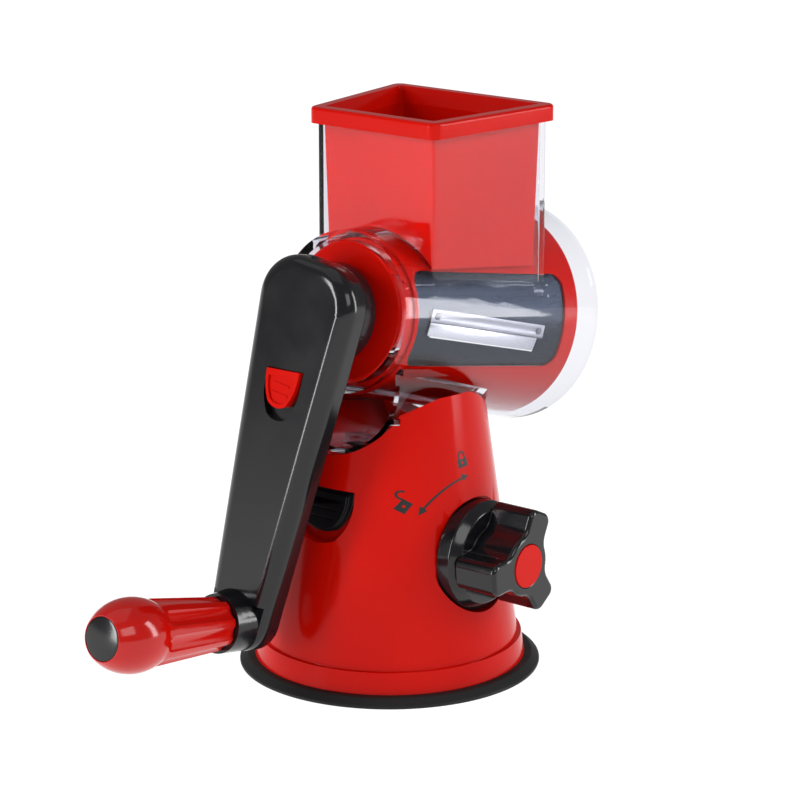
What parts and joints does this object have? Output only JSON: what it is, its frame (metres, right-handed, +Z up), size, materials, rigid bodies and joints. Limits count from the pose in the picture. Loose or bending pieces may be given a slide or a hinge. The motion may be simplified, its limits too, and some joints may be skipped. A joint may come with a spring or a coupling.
{
  "type": "rotary vegetable shredder",
  "caption": "Hand cranked rotary cabbage shredder: clear drum housing with hopper and pusher, bladed drum, crank arm with turning grip, on a red cone base with a lever locked suction cup.",
  "frame": {"origin": "centre of the suction cup's flat underside, on the table", "axes": "+Z up, +X towards the drum's open mouth, -Y towards the lock knob"},
  "size_m": [0.2518, 0.14, 0.2398],
  "materials": {
    "red_abs": "glossy moulded ABS",
    "black_abs": "satin moulded ABS",
    "clear_plastic": "clear polished plastic",
    "black_rubber": "matt moulded rubber",
    "nylon": "matt natural nylon",
    "steel": "bright stainless steel",
    "dark_steel": "stainless sheet"
  },
  "bodies": {
    "base": {"base_housing": "red_abs", "base_bottom_cover": "black_abs", "suction_cup": "black_rubber", "cover_screws": "steel", "shaft_bush": "nylon", "latch_retainer": "black_abs", "retainer_screws": "steel", "latch_spring": "steel", "barrel": "clear_plastic"},
    "latch": {"latch_button": "black_abs", "latch_slide": "black_abs"},
    "pull_rod": {"pull_rod": "nylon", "cup_stud": "steel", "stud_pin": "steel"},
    "lock_knob": {"lock_knob": "black_abs", "knob_disc": "red_abs", "knob_screw": "steel", "knob_shaft": "steel", "lift_cam": "nylon", "cam_pin": "steel", "shaft_clip": "steel"},
    "crank": {"crank_hub": "black_abs", "arm_front_shell": "black_abs", "arm_back_cover": "black_abs", "arm_screws": "steel", "drum_body": "red_abs", "drum_panels": "dark_steel", "slicing_blades": "steel", "blade_rivets": "steel", "grip_axle": "steel", "axle_washer": "steel", "axle_nut": "steel", "button_spring": "steel"},
    "crank_button": {"crank_button": "red_abs", "button_bolt": "steel"},
    "grip": {"grip_sleeve": "red_abs", "grip_end_cap": "black_abs"},
    "pusher": {"pusher": "red_abs"}
  },
  "joints": [
    {"name": "crank_turn", "type": "hinge", "parent": "base", "child": "crank", "pos_m": [0, 0, 0.1545], "axis": [0.9847, 0, -0.1743], "continuous": true},
    {"name": "grip_spin", "type": "hinge", "parent": "crank", "child": "grip", "pos_m": [-0.02314, 0.01819, 0.02377], "axis": [0.9847, 0, -0.1743], "continuous": true},
    {"name": "crank_button_press", "type": "slide", "parent": "crank", "child": "crank_button", "axis": [-0.1727, 0.1357, -0.9756], "range_m": [0, 0.005], "stiffness_N_per_m": 500, "springref_m": -0.002, "deforming": ["button_spring"]},
    {"name": "latch_press", "type": "slide", "parent": "base", "child": "latch", "axis": [-0.1382, 0, -0.9904], "range_m": [0, 0.0043], "stiffness_N_per_m": 500, "springref_m": -0.002, "deforming": ["latch_spring"]},
    {"name": "pusher_lift", "type": "slide", "parent": "base", "child": "pusher", "axis": [0, 0, 1], "range_m": [0, 0.055]},
    {"name": "lock_knob_turn", "type": "hinge", "parent": "base", "child": "lock_knob", "pos_m": [0, 0, 0.0568], "axis": [0, 1, 0], "range_deg": [0, 90]},
    {"name": "pull_rod_lift", "type": "slide", "parent": "base", "child": "pull_rod", "axis": [0, 0, 1], "range_m": [0, 0.003], "deforming": ["suction_cup"]}
  ],
  "couplings": [
    {"joint": "pull_rod_lift", "follows": "lock_knob_turn", "m_per_rad": 0.0019098}
  ]
}
